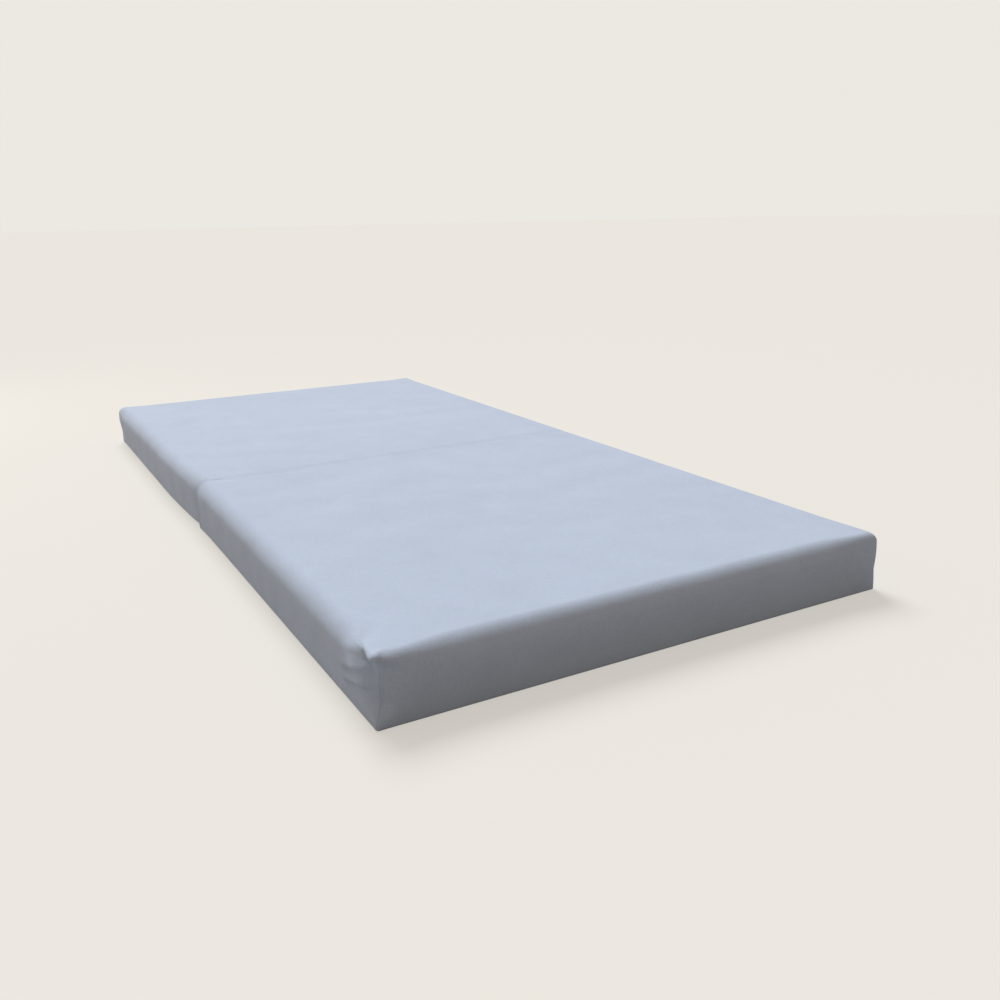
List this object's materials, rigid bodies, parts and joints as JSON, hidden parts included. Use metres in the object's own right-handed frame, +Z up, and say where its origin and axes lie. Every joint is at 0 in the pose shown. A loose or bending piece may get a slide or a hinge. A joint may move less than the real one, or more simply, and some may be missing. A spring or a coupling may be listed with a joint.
{
  "type": "folding foam mattress",
  "caption": "Flat rectangular foam mattress in two halves that fold together at a seam across the top, each half in a zipped fabric cover.",
  "frame": {"origin": "on the floor, under the middle of the open mattress", "axes": "+X across the width towards the zip side, +Y along the length from the front half to the rear half, +Z up"},
  "size_m": [0.9039, 1.9, 0.1],
  "materials": {
    "cover_fabric": "plain close-woven cover cloth, matt",
    "foam": "open-cell polyurethane foam",
    "binding": "twill seam binding",
    "zip_tape": "woven polyester zip tape",
    "zip_teeth": "moulded nylon coil",
    "zip_metal": "die-cast zinc, satin nickel"
  },
  "bodies": {
    "front_half": {"front_foam_core": "foam", "front_cover_top": "cover_fabric", "front_side_strip": "cover_fabric", "front_fold_wall": "cover_fabric", "front_bottom_panel": "cover_fabric", "front_zip_tape_upper": "zip_tape", "front_zip_tape_lower": "zip_tape", "front_zip_chain_upper": "zip_teeth", "front_zip_chain_lower": "zip_teeth", "front_zip_stop_fold": "zip_metal", "front_zip_stop_outer": "zip_metal", "fold_seam_tape": "binding"},
    "rear_half": {"rear_foam_core": "foam", "rear_cover_top": "cover_fabric", "rear_side_strip": "cover_fabric", "rear_fold_wall": "cover_fabric", "rear_bottom_panel": "cover_fabric", "rear_zip_tape_upper": "zip_tape", "rear_zip_tape_lower": "zip_tape", "rear_zip_chain_upper": "zip_teeth", "rear_zip_chain_lower": "zip_teeth", "rear_zip_stop_fold": "zip_metal", "rear_zip_stop_outer": "zip_metal"},
    "front_slider": {"front_zip_slider": "zip_metal"},
    "front_pull": {"front_zip_pull": "zip_metal"},
    "rear_slider": {"rear_zip_slider": "zip_metal"},
    "rear_pull": {"rear_zip_pull": "zip_metal"}
  },
  "joints": [
    {"name": "fold", "type": "hinge", "parent": "front_half", "child": "rear_half", "pos_m": [0, 0, 0.1015], "axis": [1, 0, 0], "range_deg": [0, 180]},
    {"name": "front_zip", "type": "slide", "parent": "front_half", "child": "front_slider", "axis": [0, 1, 0], "range_m": [0, 0.891]},
    {"name": "rear_zip", "type": "slide", "parent": "rear_half", "child": "rear_slider", "axis": [0, -1, 0], "range_m": [0, 0.891]},
    {"name": "front_pull_swing", "type": "hinge", "parent": "front_slider", "child": "front_pull", "pos_m": [0.4517, -0.9179, 0.05], "axis": [0, 0, -1], "range_deg": [0, 180]},
    {"name": "rear_pull_swing", "type": "hinge", "parent": "rear_slider", "child": "rear_pull", "pos_m": [0.4517, 0.9179, 0.05], "axis": [0, 0, 1], "range_deg": [0, 180]}
  ]
}
